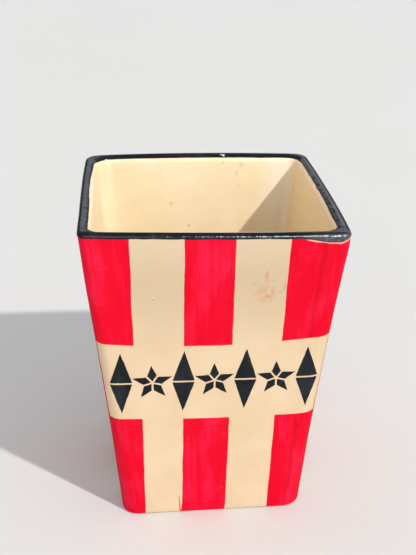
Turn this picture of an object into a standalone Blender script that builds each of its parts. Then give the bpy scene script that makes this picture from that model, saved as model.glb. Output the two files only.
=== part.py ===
"""A square, tapering popcorn bucket in glazed pottery, made in one piece.

Units are metres, with +Z up. The origin is the middle of the flat underside,
the front wall faces -Y, and +X is on its right.
"""
import math
from typing import NamedTuple

import bmesh
import bpy

# Driving dimensions of the bucket
HEIGHT = 0.200
TOP_WIDTH = 0.150
BASE_WIDTH = 0.116
WALL = 0.0068
FLOOR = 0.006
WALL_BOW = 0.0011           # how far the middle of each wall is drawn in

# Rounding
FOOT_ROUND = 0.0016         # lower edge, where the walls turn under
LIP_OUTER_ROUND = 0.0022
LIP_INNER_REACH = 0.0044    # the lip slopes off to the inside: how far across
LIP_INNER_DROP = 0.0022     # and how far down
LIP_INNER_EDGE = math.radians(38)   # what is left of a quarter turn where it meets the inner wall
FLOOR_ROUND = 0.0040        # hollow between the inner walls and the floor
INNER_BASE_CORNER = 0.0050  # plan radius of the inner corners at the floor

# The pot was trimmed and smoothed by hand, which left it a little out of true
RIM_LEAN = 0.0010           # how far the top of the walls leans to the right
LEAN_START = 0.7            # share of the height where that lean begins
RIGHT_BULGE = 0.0013        # right wall, outwards at the middle of the rim
LEFT_BULGE = 0.0006         # left wall, the same
PINCH = 0.0014              # front right corner of the lip, pressed to the left
PINCH_START = 0.93          # share of the height where that begins
BACK_CROWN = 0.0014         # back rim, upwards in its middle
FRONT_DIP = 0.0005          # front rim, downwards in its middle


class Corner(NamedTuple):
    """One upright corner of the pot; each came out a little differently."""

    right: int              # 1 on the right, -1 on the left
    back: int               # 1 at the back, -1 in front
    base_round: float       # outer plan radius at the base
    rim_round: float        # outer plan radius at the rim
    inner_round: float      # inner plan radius at the rim
    rise: float             # how far the rim stands above the nominal height
    shift: float            # how far the rim stands to the right of its nominal place


BACK_RIGHT = Corner(1, 1, 0.0105, 0.0090, 0.0060, -0.0008, 0.0004)
BACK_LEFT = Corner(-1, 1, 0.0105, 0.0095, 0.0112, 0.0011, -0.0022)
FRONT_LEFT = Corner(-1, -1, 0.0108, 0.0046, 0.0052, 0.0014, -0.0003)
FRONT_RIGHT = Corner(1, -1, 0.0124, 0.0055, 0.0092, -0.0030, -0.0007)
CORNERS = (BACK_RIGHT, BACK_LEFT, FRONT_LEFT, FRONT_RIGHT)

# Fineness of the faceted solid
CORNER_STEPS = 9
SIDE_STEPS = 7
WALL_STEPS = 15
ROUND_STEPS = 5

CREAM_GLAZE = (0.80, 0.66, 0.47, 1.0)
GLAZE_ROUGHNESS = 0.22


def clear_scene():
    """Remove every object that the file opened with."""
    for old in list(bpy.data.objects):
        bpy.data.objects.remove(old, do_unlink=True)


def outer_half(z):
    """Half the outer width of the bowed, tapering wall at height z."""
    share = z / HEIGHT
    straight = BASE_WIDTH + (TOP_WIDTH - BASE_WIDTH) * share
    return straight / 2 - 4 * WALL_BOW * share * (1 - share)


def outer_rounds(z):
    """Plan radius of each outer corner, changing evenly from the base to the rim."""
    share = z / HEIGHT
    return [corner.base_round + (corner.rim_round - corner.base_round) * share for corner in CORNERS]


def inner_rounds(z):
    """Plan radius of each inner corner, changing evenly from the floor to the rim."""
    share = z / HEIGHT
    return [INNER_BASE_CORNER + (corner.inner_round - INNER_BASE_CORNER) * share for corner in CORNERS]


def hand_shaped(x, y, z):
    """Where a point of an even bucket stands on the hand-made one."""
    up = z / HEIGHT
    across = 2 * x / TOP_WIDTH
    back = 2 * y / TOP_WIDTH
    rise = 0.0
    move = 0.0
    for corner in CORNERS:
        share = (1 + corner.right * across) * (1 + corner.back * back) / 4
        rise += share * corner.rise
        move += share * corner.shift
    lean = RIM_LEAN * max(0.0, (up - LEAN_START) / (1 - LEAN_START)) ** 2
    bulge = (RIGHT_BULGE if across > 0 else LEFT_BULGE) * across * (1 - back * back)
    pressed = max(0.0, (up - PINCH_START) / (1 - PINCH_START)) ** 2
    pinch = PINCH * pressed * (1 + across) * (1 - back) / 4
    crown = (BACK_CROWN if back > 0 else FRONT_DIP) * back * (1 - across * across)
    return x + (move + bulge) * up + lean - pinch, y, z + (rise + crown) * up


def rounded_square(half, rounds, z):
    """One anticlockwise ring of points: four rounded corners and the sides between them."""
    arcs = []
    for index, (corner, radius) in enumerate(zip(CORNERS, rounds)):
        centre_x = corner.right * (half - radius)
        centre_y = corner.back * (half - radius)
        arc = []
        for step in range(CORNER_STEPS + 1):
            angle = (index + step / CORNER_STEPS) * math.pi / 2
            arc.append((centre_x + radius * math.cos(angle), centre_y + radius * math.sin(angle)))
        arcs.append(arc)
    points = []
    for arc, following in zip(arcs, arcs[1:] + arcs[:1]):
        points += arc
        (from_x, from_y), (to_x, to_y) = arc[-1], following[0]
        for step in range(1, SIDE_STEPS):
            share = step / SIDE_STEPS
            points.append((from_x + (to_x - from_x) * share, from_y + (to_y - from_y) * share))
    return [hand_shaped(x, y, z) for x, y in points]


def quarter_round(radius, steps):
    """Shares of a quarter turn, as (sine, cosine) times the radius, ends left out."""
    turns = [step / steps * math.pi / 2 for step in range(1, steps)]
    return [(radius * math.sin(turn), radius * math.cos(turn)) for turn in turns]


def spread(low, high, steps):
    """Evenly spaced values from low to high, both ends included."""
    return [low + (high - low) * step / steps for step in range(steps + 1)]


def outside_rings():
    """Rings from the flat underside, round the foot and up the outer wall to the lip."""
    rings = []

    def add(z, inset):
        rounds = [radius - inset for radius in outer_rounds(z)]
        rings.append(rounded_square(outer_half(z) - inset, rounds, z))

    add(0.0, FOOT_ROUND)
    for rise, reach in quarter_round(FOOT_ROUND, ROUND_STEPS):
        add(FOOT_ROUND - reach, FOOT_ROUND - rise)
    for z in spread(FOOT_ROUND, HEIGHT - LIP_OUTER_ROUND, WALL_STEPS):
        add(z, 0.0)
    for rise, reach in quarter_round(LIP_OUTER_ROUND, ROUND_STEPS):
        add(HEIGHT - LIP_OUTER_ROUND + rise, LIP_OUTER_ROUND - reach)
    add(HEIGHT, LIP_OUTER_ROUND)
    return rings


def inside_rings():
    """Rings from the top of the lip down the inner wall and round to the floor."""
    rings = []

    def add(z, inset):
        rounds = [radius - inset for radius in inner_rounds(z)]
        rings.append(rounded_square(outer_half(z) - WALL - inset, rounds, z))

    for turn in spread(math.pi / 2, LIP_INNER_EDGE, ROUND_STEPS)[:-1]:
        fall = (1 - math.sin(turn)) / (1 - math.sin(LIP_INNER_EDGE))
        reach = math.cos(turn) / math.cos(LIP_INNER_EDGE)
        add(HEIGHT - LIP_INNER_DROP * fall, LIP_INNER_REACH * (reach - 1))
    floor_turn = FLOOR + FLOOR_ROUND
    for z in reversed(spread(floor_turn, HEIGHT - LIP_INNER_DROP, WALL_STEPS)):
        add(z, 0.0)
    for rise, reach in quarter_round(FLOOR_ROUND, ROUND_STEPS):
        add(floor_turn - rise, FLOOR_ROUND - reach)
    add(FLOOR, FLOOR_ROUND)
    return rings


def bucket_mesh():
    """Join the rings into one closed shell, with a fan for the underside and the floor."""
    bm = bmesh.new()
    rings = [[bm.verts.new(point) for point in ring] for ring in outside_rings() + inside_rings()]
    count = len(rings[0])
    for lower, upper in zip(rings, rings[1:]):
        for i in range(count):
            j = (i + 1) % count
            bm.faces.new((lower[i], lower[j], upper[j], upper[i]))
    underside = bm.faces.new(list(reversed(rings[0])))
    floor = bm.faces.new(rings[-1])
    bmesh.ops.poke(bm, faces=[underside, floor])
    bmesh.ops.recalc_face_normals(bm, faces=bm.faces)
    mesh = bpy.data.meshes.new("bucket")
    bm.to_mesh(mesh)
    bm.free()
    mesh.shade_smooth()
    return mesh


def cream_glaze():
    """The pot's own glaze, which shows between the painted stripes."""
    material = bpy.data.materials.new("cream_glaze")
    material.use_nodes = True
    shader = material.node_tree.nodes["Principled BSDF"]
    shader.inputs["Base Color"].default_value = CREAM_GLAZE
    shader.inputs["Roughness"].default_value = GLAZE_ROUGHNESS
    shader.inputs["Metallic"].default_value = 0.0
    material.diffuse_color = CREAM_GLAZE
    return material


def add_bucket():
    """Place the one-piece bucket with its underside on the ground plane."""
    mesh = bucket_mesh()
    mesh.materials.append(cream_glaze())
    bucket = bpy.data.objects.new("bucket", mesh)
    bpy.context.scene.collection.objects.link(bucket)
    return bucket


clear_scene()
add_bucket()
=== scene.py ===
"""Looks of a hand-painted square popcorn bucket in glazed pottery.

The bucket stands on a pale floor under soft studio light. Its form follows the
packed model; the painting is procedural, on object coordinates.
"""
import math

import bmesh
import bpy
from mathutils import Matrix, Vector


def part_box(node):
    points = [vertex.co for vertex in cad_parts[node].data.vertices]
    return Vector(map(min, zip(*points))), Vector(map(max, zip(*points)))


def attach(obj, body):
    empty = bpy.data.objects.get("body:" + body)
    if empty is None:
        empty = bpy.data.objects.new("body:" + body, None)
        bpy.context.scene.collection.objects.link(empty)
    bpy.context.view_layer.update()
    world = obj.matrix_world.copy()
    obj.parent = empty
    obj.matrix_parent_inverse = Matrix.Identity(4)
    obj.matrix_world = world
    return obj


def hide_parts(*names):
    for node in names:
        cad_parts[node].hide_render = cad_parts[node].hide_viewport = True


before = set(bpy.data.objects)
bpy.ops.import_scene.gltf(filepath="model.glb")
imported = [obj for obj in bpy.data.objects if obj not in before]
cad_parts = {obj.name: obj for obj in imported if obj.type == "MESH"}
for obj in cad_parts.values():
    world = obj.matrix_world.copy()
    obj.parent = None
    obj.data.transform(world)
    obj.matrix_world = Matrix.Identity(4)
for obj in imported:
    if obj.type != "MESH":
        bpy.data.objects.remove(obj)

bl_info = {
    "name": "Painted Pottery Bucket",
    "version": (1, 0, 0),
    "blender": (4, 5, 0),
    "location": "View3D > Sidebar > Pottery",
    "description": "Square pottery bucket with painted stripes, a black rim and a stencilled band",
    "category": "Add Mesh",
}

MM = 0.001
FRAME_LOW, FRAME_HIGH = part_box("bucket")
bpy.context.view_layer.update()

# Zones of the pot's section, read by the square loft to choose a finish
UNDERSIDE, OUTSIDE, INSIDE = 0.0, 1.0, 2.0

# Rounding of the pot's section, the same as in the packed model
FOOT_ROUND = 1.6 * MM
LIP_OUTER_ROUND = 2.2 * MM
LIP_INNER_REACH = 4.4 * MM
LIP_INNER_DROP = 2.2 * MM
LIP_INNER_EDGE = math.radians(38)
FLOOR_ROUND = 4.0 * MM
INNER_BASE_CORNER = 5.0 * MM
PINCH_START = 0.93
SLOPE_STEPS = 9

# The settings that shape the pot by hand and spread the rim's glaze, and the pot's finishes
HAND_SIZES = ("Lean", "Right Bulge", "Left Bulge", "Pinch", "Crown", "Dip", "Unevenness")
RUN_SIZES = ("Waver", "Sag", "Sag Place", "Back Reach", "Right Reach", "Left Reach", "Front Dip")
FINISHES = ("Underside", "Outside", "Inside")

# Points closer than this are one point of the loft, and of the stencilled paint
LOFT_SEAM = 0.01 * MM
PAINT_SEAM = 0.002 * MM

# Each corner of the hand-made pot: name, plan radius at the base, at the rim and inside the rim
CORNERS = (
    ("Back Right", 10.5 * MM, 9.0 * MM, 6.0 * MM),
    ("Back Left", 10.5 * MM, 9.5 * MM, 11.2 * MM),
    ("Front Left", 10.8 * MM, 4.6 * MM, 5.2 * MM),
    ("Front Right", 12.4 * MM, 5.5 * MM, 9.2 * MM),
)
PAINT_CORNER = 10.0 * MM

# Half the width to which the painting's plan is spread at every height
PLAN_HALF = 75 * MM

# How deep the rim's glaze and the stencilled paint sit in the pot
GLAZE_SUNK = 0.6 * MM
PAINT_SUNK = 0.3 * MM

# The stencilled row starts this far in front of the pot's middle and is laid back on the wall
ROW_START = -200 * MM

# What each ring of a section carries besides its corners
ROW_LABELS = ("zone", "slide_out", "slide_up", "run", "reach_out", "reach_up", "sink_out", "sink_up")


def length(name, description, default, **limits):
    """A size in metres that the panel shows as a distance."""
    return bpy.props.FloatProperty(
        name=name, description=description, default=default,
        subtype="DISTANCE", unit="LENGTH", precision=4, **limits)


def offset(name, description, default):
    """A small move in metres."""
    return bpy.props.FloatVectorProperty(
        name=name, description=description, default=default, size=3, subtype="TRANSLATION", unit="LENGTH")


def colour(name, description, default):
    """A scene-linear colour."""
    return bpy.props.FloatVectorProperty(
        name=name, description=description, default=default, size=3, min=0.0, max=1.0, subtype="COLOR")


def direction(name, description, default):
    """A direction in the scene."""
    return bpy.props.FloatVectorProperty(
        name=name, description=description, default=default, size=3, subtype="DIRECTION")


def rotation(name, description, degrees):
    """An angle."""
    return bpy.props.FloatProperty(
        name=name, description=description, default=math.radians(degrees), subtype="ANGLE")


def amount(name, description, default, **limits):
    """A plain number."""
    return bpy.props.FloatProperty(name=name, description=description, default=default, **limits)


class PotSizes(bpy.types.PropertyGroup):
    """Sizes of the pot itself."""

    height: length("Height", "From the underside to the nominal rim", 200 * MM)
    top_width: length("Top width", "Across the square rim, outside", 150 * MM)
    base_width: length("Base width", "Across the square base, outside", 116 * MM)
    wall: length("Wall", "Thickness of the wall", 6.8 * MM)
    floor: length("Floor", "Thickness of the floor", 6 * MM)
    bow: length("Wall bow", "How far the middle of each wall is drawn in", 1.1 * MM)
    back_right: offset("Back Right", "How far that corner of the rim is off", (0.4 * MM, 0.0, -0.8 * MM))
    back_left: offset("Back Left", "How far that corner of the rim is off", (-2.2 * MM, 0.0, 1.1 * MM))
    front_left: offset("Front Left", "How far that corner of the rim is off", (-0.3 * MM, 0.0, 1.4 * MM))
    front_right: offset("Front Right", "How far that corner of the rim is off", (-0.7 * MM, 0.0, -3.0 * MM))
    lean: length("Lean", "How far the top of the walls leans to the right", 1.0 * MM)
    right_bulge: length("Right bulge", "Right wall, outwards at the middle of the rim", 1.3 * MM)
    left_bulge: length("Left bulge", "Left wall, outwards at the middle of the rim", 0.6 * MM)
    pinch: length("Pinch", "Front right corner of the lip, pressed to the left", 1.4 * MM)
    crown: length("Crown", "Back rim, upwards in its middle", 1.4 * MM)
    dip: length("Dip", "Front rim, downwards in its middle", 0.5 * MM)
    unevenness: length("Unevenness", "How far the hand-finished walls stray", 0.22 * MM)
    around: bpy.props.IntProperty(
        name="Columns", description="Faces round the pot", default=400, min=32, max=600)


class PaintSizes(bpy.types.PropertyGroup):
    """Places and colours of the painting."""

    stripe_width: length("Stripe width", "Width of a wall's middle stripe", 28.0 * MM)
    stripe_middle: length("Stripe middle", "Middle stripe at the foot, from the wall's middle", -6.5 * MM)
    stripe_lean: length("Stripe lean", "How far the middle stripe moves from foot to rim", 3.1 * MM)
    left_edge: length("Left edge", "Inner edge of the left corner's red, below the band", -43.2 * MM)
    left_step: length("Left step", "How much further left that edge is above the band", -3.7 * MM)
    right_edge: length("Right edge", "Inner edge of the right corner's red, at the foot", 35.2 * MM)
    right_lean: length("Right lean", "How far that edge moves from foot to rim", 5.5 * MM)
    band_low: length("Band low", "Lower edge of the front wall's plain band", 75.2 * MM)
    band_high: length("Band high", "Upper edge of the front wall's plain band", 127.6 * MM)
    wobble: length("Edge wobble", "How far a brushed edge wanders", 0.45 * MM)
    cream: colour("Cream", "Glaze between the stripes", (0.665, 0.507, 0.335))
    inner_cream: colour("Inner cream", "Glaze of the inside", (0.80, 0.67, 0.455))
    crimson: colour("Crimson", "Red where the brush was full", (0.68, 0.0, 0.017))
    rose: colour("Rose", "Red where the brush ran thin", (0.76, 0.008, 0.046))
    black: colour("Black", "Rim and stencil", (0.007, 0.0085, 0.011))
    clay: colour("Clay", "Unglazed underside", (0.60, 0.47, 0.34))


class RimSizes(bpy.types.PropertyGroup):
    """Sizes of the thick black glaze on the rim."""

    outer_drop: length("Outer drop", "How far the black reaches down outside", 2.8 * MM)
    inner_reach: length("Inner reach", "How far the black reaches over the lip's inner slope", 3.5 * MM)
    front_dip: length("Front dip", "How deep its inner part dips under the cream, front left", 2.1 * MM)
    left_reach: length("Left reach", "How much further in on the left", -1.2 * MM)
    back_reach: length("Back reach", "How much further in at the back", 0.8 * MM)
    right_reach: length("Right reach", "How much further in at the front right", 0.5 * MM)
    thickness: length("Thickness", "Thickness of the black glaze", 0.28 * MM)
    waver: length("Waver", "How far its edges wander", 0.45 * MM)
    sag: length("Sag", "Extra drop where it ran, near the front right corner", 2.3 * MM)
    sag_place: length("Sag place", "Where it ran, to the right of the middle", 66 * MM)
    sag_width: length("Sag width", "From the run's start to its lowest place", 20 * MM)


class StencilSizes(bpy.types.PropertyGroup):
    """Sizes of the stencilled row on the band."""

    lozenges: bpy.props.IntProperty(
        name="Lozenges", description="Tall lozenges, with a star between each two", default=4, min=2, max=9)
    row_width: length("Row width", "From the first lozenge's middle to the last one's", 110 * MM)
    lozenge_width: length("Lozenge width", "Width of a tall lozenge", 13.5 * MM)
    lozenge_height: length("Lozenge height", "Height of a tall lozenge", 43 * MM)
    star_radius: length("Star radius", "From a star's middle to its points", 12.0 * MM)
    bridge: length("Bridge", "Gap left by the stencil's bridges", 1.1 * MM)
    middle: length("Middle", "Height of the row's middle", 103 * MM)
    film: length("Film", "How far the paint stands off the wall", 0.06 * MM)


class StudioSizes(bpy.types.PropertyGroup):
    """Camera and light."""

    camera_place: offset("Camera", "The camera's place", (-0.0411, -0.4870, 0.3608))
    yaw: rotation("Yaw", "Turn to the right from looking along +Y", 5.02)
    pitch: rotation("Pitch", "Tilt upwards", -24.32)
    roll: rotation("Roll", "Lean of the picture", 0.19)
    lens: amount("Lens", "Focal length on a 36 mm sensor", 54.03, min=1.0, unit="CAMERA")
    floor_colour: colour("Floor", "Pale floor", (0.60, 0.595, 0.585))
    towards_key: direction("Towards key", "From the bucket to the key light", (0.53, -0.542, 0.652))
    key_strength: amount("Key strength", "Irradiance of the key light", 2.8, min=0.0)
    world_strength: amount("World strength", "Brightness of the soft surroundings", 0.84, min=0.0)


SETTINGS = {
    "pottery_pot": PotSizes,
    "pottery_paint": PaintSizes,
    "pottery_rim": RimSizes,
    "pottery_stencil": StencilSizes,
    "pottery_studio": StudioSizes,
}


class Signal:
    """An output socket that takes part in sums, each of which adds one node to its tree."""

    def __init__(self, graph, socket):
        self.graph = graph
        self.socket = socket

    def __abs__(self):
        return self.graph.math("ABSOLUTE", self)


for sign, operation in (("add", "ADD"), ("sub", "SUBTRACT"), ("mul", "MULTIPLY"), ("truediv", "DIVIDE")):
    setattr(Signal, f"__{sign}__", lambda a, b, kind=operation: a.graph.math(kind, a, b))
    setattr(Signal, f"__r{sign}__", lambda a, b, kind=operation: a.graph.math(kind, b, a))


class Graph:
    """Adds nodes to one tree and feeds each input with a signal or a plain value."""

    def __init__(self, tree):
        self.tree = tree

    def feed(self, socket, value):
        if isinstance(value, Signal):
            self.tree.links.new(value.socket, socket)
        else:
            socket.default_value = value

    def signals(self, sockets):
        """A node's outputs by name."""
        return {socket.name: Signal(self, socket) for socket in sockets}

    def node(self, kind, inputs=None, **settings):
        """A new node with its inputs fed, by name or place."""
        node = self.tree.nodes.new(kind)
        for name, value in settings.items():
            setattr(node, name, value)
        for key, value in (inputs or {}).items():
            self.feed(node.inputs[key], value)
        return node

    def add(self, kind, inputs=None, output=0, **settings):
        """One output of a new node."""
        return Signal(self, self.node(kind, inputs, **settings).outputs[output])

    def math(self, operation, *values):
        return self.add("ShaderNodeMath", dict(enumerate(values)), operation=operation)

    def vector(self, operation, *values):
        kind = "Value" if operation in {"LENGTH", "DOT_PRODUCT"} else "Vector"
        return self.add("ShaderNodeVectorMath", dict(enumerate(values)), kind, operation=operation)

    def scaled(self, vector, factor):
        return self.add("ShaderNodeVectorMath", {"Vector": vector, "Scale": factor}, operation="SCALE")

    def combine(self, x, y, z):
        return self.add("ShaderNodeCombineXYZ", {"X": x, "Y": y, "Z": z})

    def separate(self, vector):
        return [*self.signals(self.node("ShaderNodeSeparateXYZ", {"Vector": vector}).outputs).values()]

    def upward(self, z):
        return self.combine(0.0, 0.0, z)

    def ramp(self, value, low, high, out_low=0.0, out_high=1.0, smooth=True):
        """value taken from low..high to out_low..out_high, held at the ends."""
        return self.add(
            "ShaderNodeMapRange",
            {"Value": value, "From Min": low, "From Max": high, "To Min": out_low, "To Max": out_high},
            interpolation_type="SMOOTHSTEP" if smooth else "LINEAR")

    def fall(self, value, low, high):
        """1 up to low, 0 from high on."""
        return self.ramp(value, low, high, 1.0, 0.0)

    def least(self, first, *others):
        for other in others:
            first = self.math("MINIMUM", first, other)
        return first

    def most(self, first, *others):
        for other in others:
            first = self.math("MAXIMUM", first, other)
        return first

    def blend(self, factor, first, second):
        """first with second over it, as colours."""
        return self.add("ShaderNodeMix", {0: factor, 6: first, 7: second}, 2, data_type="RGBA")

    def switched(self, factor, first, second):
        """A number between first and second."""
        return self.add("ShaderNodeMix", {0: factor, 2: first, 3: second}, data_type="FLOAT")

    def noise(self, vector, scale, detail=2.0, roughness=0.5, seed=0.0):
        return self.add(
            "ShaderNodeTexNoise",
            {"Vector": vector, "Scale": scale, "Detail": detail, "Roughness": roughness, "W": seed},
            noise_dimensions="4D")

    def group(self, tree, inputs):
        return self.signals(self.node("ShaderNodeGroup", inputs, node_tree=tree).outputs)


def linked(name, data):
    """A new object of the scene with that data."""
    made = bpy.data.objects.new(name, data)
    bpy.context.scene.collection.objects.link(made)
    return made


def opaque(rgb):
    """A colour property as the four values that a colour socket takes."""
    return (*rgb, 1.0)


def tinted(colour, share):
    """The colour times one share, or times one for each channel, as a colour socket takes it."""
    shares = share if isinstance(share, tuple) else (share, share, share)
    return opaque([value * part for value, part in zip(colour, shares)])


def new_tree(name, kind, inputs, outputs):
    """A node group with named sockets, as (graph, inputs, sockets of the result)."""
    tree = bpy.data.node_groups.new(name, kind)
    for label, socket_type, default in inputs:
        socket = tree.interface.new_socket(label, in_out="INPUT", socket_type=socket_type)
        if default is not None:
            socket.default_value = default
    for label, socket_type in outputs:
        tree.interface.new_socket(label, in_out="OUTPUT", socket_type=socket_type)
    entry = tree.nodes.new("NodeGroupInput")
    result = tree.nodes.new("NodeGroupOutput")
    graph = Graph(tree)
    return graph, graph.signals(entry.outputs), result.inputs


FLOAT = "NodeSocketFloat"
VECTOR = "NodeSocketVector"
GEOMETRY = "NodeSocketGeometry"
MATERIAL = "NodeSocketMaterial"
INTEGER = "NodeSocketInt"
OBJECT = "NodeSocketObject"


def outer_half(z):
    """Half the outer width of the bowed, tapering wall at height z."""
    pot = bpy.context.scene.pottery_pot
    part = z / pot.height
    straight = pot.base_width + (pot.top_width - pot.base_width) * part
    return straight / 2 - 4 * pot.bow * part * (1 - part)


def evenly(base, top, z):
    """A size that changes evenly from the base to the rim."""
    return base + (top - base) * z / bpy.context.scene.pottery_pot.height


def arc(radius, steps):
    """A quarter turn as (sine, cosine) times the radius, ends left out."""
    turns = [step / steps * math.pi / 2 for step in range(1, steps)]
    return [(radius * math.sin(turn), radius * math.cos(turn)) for turn in turns]


def spread(low, high, steps):
    """Evenly spaced values from low to high, both ends included."""
    return [low + (high - low) * step / steps for step in range(steps + 1)]


def outer_row(z, inset=0.0, zone=OUTSIDE):
    """A ring on the outer surface, as (distance out, height, each corner's plan radius, zone)."""
    rounds = [evenly(base, rim, z) - inset for _, base, rim, _ in CORNERS]
    return outer_half(z) - inset, z, rounds, zone


def inner_row(z, inset=0.0):
    """A ring on the inner surface, inset from the plain inner wall."""
    rounds = [evenly(INNER_BASE_CORNER, inner, z) - inset for _, _, _, inner in CORNERS]
    half = outer_half(z) - bpy.context.scene.pottery_pot.wall - inset
    return half, z, rounds, INSIDE


def lip_row(turn):
    """A ring on the lip's slope to the inside, which meets the inner wall at an edge."""
    drop = LIP_INNER_DROP * (1.0 - math.sin(turn)) / (1.0 - math.sin(LIP_INNER_EDGE))
    reach = LIP_INNER_REACH * (math.cos(turn) / math.cos(LIP_INNER_EDGE) - 1.0)
    return inner_row(bpy.context.scene.pottery_pot.height - drop, reach)


def disc_rows(edge_row, rings):
    """Rings that shrink evenly from a flat face's edge to its middle."""
    half, z, rounds, zone = edge_row
    return [(half * part, z, [radius * part for radius in rounds], zone)
            for part in spread(1.0, 0.0, rings)[1:]]


def pot_section():
    """Rings of the whole pot, from the middle of the underside to the middle of its floor."""
    pot = bpy.context.scene.pottery_pot
    foot = outer_row(0.0, FOOT_ROUND, UNDERSIDE)
    rows = disc_rows(foot, 8)[::-1] + [foot]
    rows += [outer_row(FOOT_ROUND - reach, FOOT_ROUND - rise) for rise, reach in arc(FOOT_ROUND, 6)]
    rows += [outer_row(z) for z in spread(FOOT_ROUND, pot.height - LIP_OUTER_ROUND, 64)]
    for rise, reach in arc(LIP_OUTER_ROUND, 7):
        rows.append(outer_row(pot.height - LIP_OUTER_ROUND + rise, LIP_OUTER_ROUND - reach))
    rows.append(outer_row(pot.height, LIP_OUTER_ROUND))
    rows += [lip_row(turn) for turn in spread(math.pi / 2, LIP_INNER_EDGE, 9)]
    turn = pot.floor + FLOOR_ROUND
    rows += [inner_row(z) for z in spread(pot.height - LIP_INNER_DROP, turn, 60)[1:]]
    rows += [inner_row(turn - rise, FLOOR_ROUND - reach) for rise, reach in arc(FLOOR_ROUND, 9)]
    floor_edge = inner_row(pot.floor, FLOOR_ROUND)
    return rows + [floor_edge] + disc_rows(floor_edge, 8)


def rim_section():
    """Closed rings of the black glaze: up the outside, over the lip, inside, and back within the wall."""
    pot = bpy.context.scene.pottery_pot
    rim = bpy.context.scene.pottery_rim
    top = pot.height
    outer_turn = top - LIP_OUTER_ROUND
    path = [outer_row(z) for z in spread(top - rim.outer_drop, outer_turn, 5)]
    turns = arc(LIP_OUTER_ROUND, 9)
    path += [outer_row(outer_turn + rise, LIP_OUTER_ROUND - reach) for rise, reach in turns]
    path.append(outer_row(top, LIP_OUTER_ROUND))
    last_turn = math.acos(rim.inner_reach / LIP_INNER_REACH * math.cos(LIP_INNER_EDGE))
    path += [lip_row(turn) for turn in spread(math.pi / 2, last_turn, SLOPE_STEPS)]
    outside, buried = [], []
    last = len(path) - 1
    for index, (half, z, rounds, zone) in enumerate(path):
        before, after = path[max(index - 1, 0)], path[min(index + 1, last)]
        tangent = Vector((after[0] - before[0], after[1] - before[1])).normalized()
        outward = Vector((tangent.y, -tangent.x))
        body = math.sin(math.pi * min(0.5, 0.12 + min(index, last - index) / 6))
        outer_share = max(0.0, 1.0 - index / 5)
        inner_share = max(0.0, 1.0 - (last - index) / 5)
        slide = tangent * (0.8 * inner_share - outer_share)
        on_slope = max(0.0, 1.0 - (last - index) / SLOPE_STEPS)
        reach_in = tangent * inner_share
        sink = -outward * on_slope
        for rows, reach in ((outside, rim.thickness * body), (buried, -GLAZE_SUNK * body)):
            shift = outward * reach
            moved = [radius + shift.x for radius in rounds]
            rows.append((half + shift.x, z + shift.y, moved, zone, slide.x, slide.y, outer_share,
                         reach_in.x, reach_in.y, sink.x, sink.y))
    return outside + buried[::-1] + outside[:1]


def section_object(name, rows):
    """The rings as a line of points that carry each corner's plan radius, the zone and the edges' slide."""
    mesh = bpy.data.meshes.new(name)
    links = [(i, i + 1) for i in range(len(rows) - 1)]
    mesh.from_pydata([(row[0], 0.0, row[1]) for row in rows], links, [])
    layers = {corner[0]: [row[2][place] for row in rows] for place, corner in enumerate(CORNERS)}
    for place, label in enumerate(ROW_LABELS, 3):
        layers[label] = [row[place] if len(row) > place else 0.0 for row in rows]
    for label, values in layers.items():
        mesh.attributes.new(label, "FLOAT", "POINT").data.foreach_set("value", values)
    return linked(name, mesh)


def loft_ring(graph, inputs, point_index):
    """Column and row of each grid point, and the ring point that a rounded square gives it."""
    rows = graph.add("GeometryNodeAttributeDomainSize", {"Geometry": inputs["Section"]}, "Point Count")
    column = graph.math("FLOOR", (point_index + 0.5) / rows)
    row = point_index - column * rows

    def from_section(value, data_type):
        return graph.add(
            "GeometryNodeSampleIndex", {"Geometry": inputs["Section"], "Index": row, "Value": value},
            data_type=data_type, domain="POINT")

    def named(label):
        value = graph.add("GeometryNodeInputNamedAttribute", {"Name": label}, data_type="FLOAT")
        return from_section(value, "FLOAT")

    place = from_section(graph.add("GeometryNodeInputPosition"), "FLOAT_VECTOR")
    half, _, height = graph.separate(place)

    # One side of a square for each quarter turn, with the columns gathered towards its corners
    quarters = column / inputs["Columns"] * 4.0
    side = graph.math("FLOOR", quarters)
    along = (quarters - side) * 2.0 - 1.0
    gathered = graph.math("SINE", along * (math.pi / 2))
    eased = along * 0.5 + gathered * 0.5
    across = eased * half

    # Each half of a side takes the plan radius of the corner at its own end
    first_half = graph.math("LESS_THAN", along, 0.0)
    corner = graph.math("FLOORED_MODULO", side - first_half, 4.0)
    chosen = graph.node("GeometryNodeIndexSwitch", data_type="FLOAT")
    while len(chosen.index_switch_items) < len(CORNERS):
        chosen.index_switch_items.new()
    graph.feed(chosen.inputs["Index"], graph.math("ROUND", corner))
    for socket, corner_sizes in zip(list(chosen.inputs)[1:], CORNERS):
        graph.feed(socket, named(corner_sizes[0]))
    radius = Signal(graph, chosen.outputs["Output"])

    # The corner is a circle about a point that is one plan radius in from both walls
    flat = half - radius
    centre = graph.least(graph.most(across, flat * -1.0), flat)
    reach = graph.combine(radius, across - centre, 0.0)
    direction = graph.vector("NORMALIZE", reach)
    ring = graph.vector("ADD", graph.combine(flat, centre, height), graph.scaled(direction, radius))
    angle = side * (math.pi / 2)

    def turned(vector):
        return graph.add(
            "ShaderNodeVectorRotate", {"Vector": vector, "Angle": angle}, rotation_type="Z_AXIS")

    return turned(ring), turned(direction), {label: named(label) for label in ROW_LABELS}


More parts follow.
